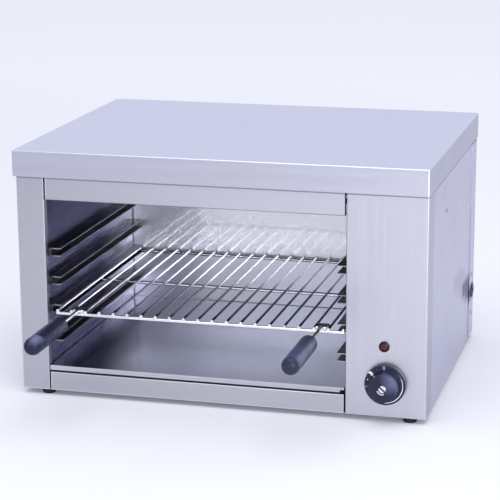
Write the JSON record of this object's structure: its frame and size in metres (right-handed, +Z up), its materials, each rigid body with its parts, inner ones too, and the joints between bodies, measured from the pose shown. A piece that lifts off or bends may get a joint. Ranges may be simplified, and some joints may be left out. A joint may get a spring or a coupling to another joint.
{
  "type": "cheese melter",
  "caption": "Open-fronted counter-top grill of folded steel with a sliding wire rack, a crumb tray, a knob and a pilot light.",
  "frame": {"origin": "on the surface it stands on, below the middle of the box round the whole machine with its handles", "axes": "+X to the right as the user faces the opening, +Y from the front to the back, +Z up"},
  "size_m": [0.6, 0.637, 0.364],
  "materials": {
    "casing_steel": "brushed stainless sheet",
    "base_steel": "mill finish sheet",
    "cavity_steel": "bright rolled stainless sheet",
    "runner_steel": "folded stainless sheet",
    "tray_steel": "satin stainless sheet",
    "rack_wire": "bright plated wire",
    "rod_steel": "bright plated rod",
    "grip": "moulded black grip",
    "heating_rod": "heat-stained sheath",
    "brass_fittings": "turned brass",
    "insulation": "mineral wool",
    "knob_black": "moulded black knob",
    "knob_cap": "bright slotted cap",
    "regulator": "phenolic moulding",
    "pilot_lens": "dark red lens",
    "pale_plastic": "heat-proof nylon",
    "ceramic_block": "unglazed porcelain",
    "gland_black": "moulded nylon",
    "wire_sleeve": "heat-proof sleeve",
    "foot_rubber": "moulded rubber",
    "fasteners": "plated steel"
  },
  "bodies": {
    "casing": {"top_cover": "casing_steel", "left_front_post": "casing_steel", "control_panel": "casing_steel", "header_panel": "casing_steel", "sill_panel": "casing_steel", "left_side_panel": "casing_steel", "right_side_panel": "casing_steel", "rear_panel": "casing_steel", "base_plate": "base_steel", "left_cavity_wall": "cavity_steel", "right_cavity_wall": "cavity_steel", "back_cavity_wall": "cavity_steel", "cavity_ceiling": "cavity_steel", "left_insulation": "insulation", "rear_insulation": "insulation", "ceiling_insulation": "insulation", "left_runner_1": "runner_steel", "left_runner_2": "runner_steel", "left_runner_3": "runner_steel", "left_runner_4": "runner_steel", "right_runner_1": "runner_steel", "right_runner_2": "runner_steel", "right_runner_3": "runner_steel", "right_runner_4": "runner_steel", "left_tray_rail": "runner_steel", "right_tray_rail": "runner_steel", "front_heating_element": "heating_rod", "middle_heating_element": "heating_rod", "rear_heating_element": "heating_rod", "element_hangers": "runner_steel", "element_fittings": "brass_fittings", "regulator_body": "regulator", "regulator_nut": "brass_fittings", "pilot_lens": "pilot_lens", "pilot_holder": "pale_plastic", "terminal_block": "ceramic_block", "mains_gland": "gland_black", "gland_locknut": "gland_black", "internal_wires": "wire_sleeve", "front_left_foot": "foot_rubber", "front_right_foot": "foot_rubber", "rear_left_foot": "foot_rubber", "rear_right_foot": "foot_rubber", "foot_studs": "fasteners", "foot_nuts": "fasteners", "side_rivets": "fasteners", "panel_stay": "runner_steel"},
    "rack": {"rack_grid": "rack_wire", "left_handle_rod": "rod_steel", "right_handle_rod": "rod_steel", "left_handle_grip": "grip", "right_handle_grip": "grip"},
    "tray": {"crumb_tray": "tray_steel"},
    "knob": {"knob": "knob_black", "knob_cap": "knob_cap", "regulator_shaft": "rod_steel"}
  },
  "joints": [
    {"name": "rack_slide", "type": "slide", "parent": "casing", "child": "rack", "axis": [0, -1, 0], "range_m": [0, 0.3]},
    {"name": "tray_slide", "type": "slide", "parent": "casing", "child": "tray", "axis": [0, -1, 0], "range_m": [0, 0.3]},
    {"name": "knob_turn", "type": "hinge", "parent": "casing", "child": "knob", "pos_m": [0.242, -0.147, 0.057], "axis": [0, 1, 0], "range_deg": [0, 300]}
  ]
}
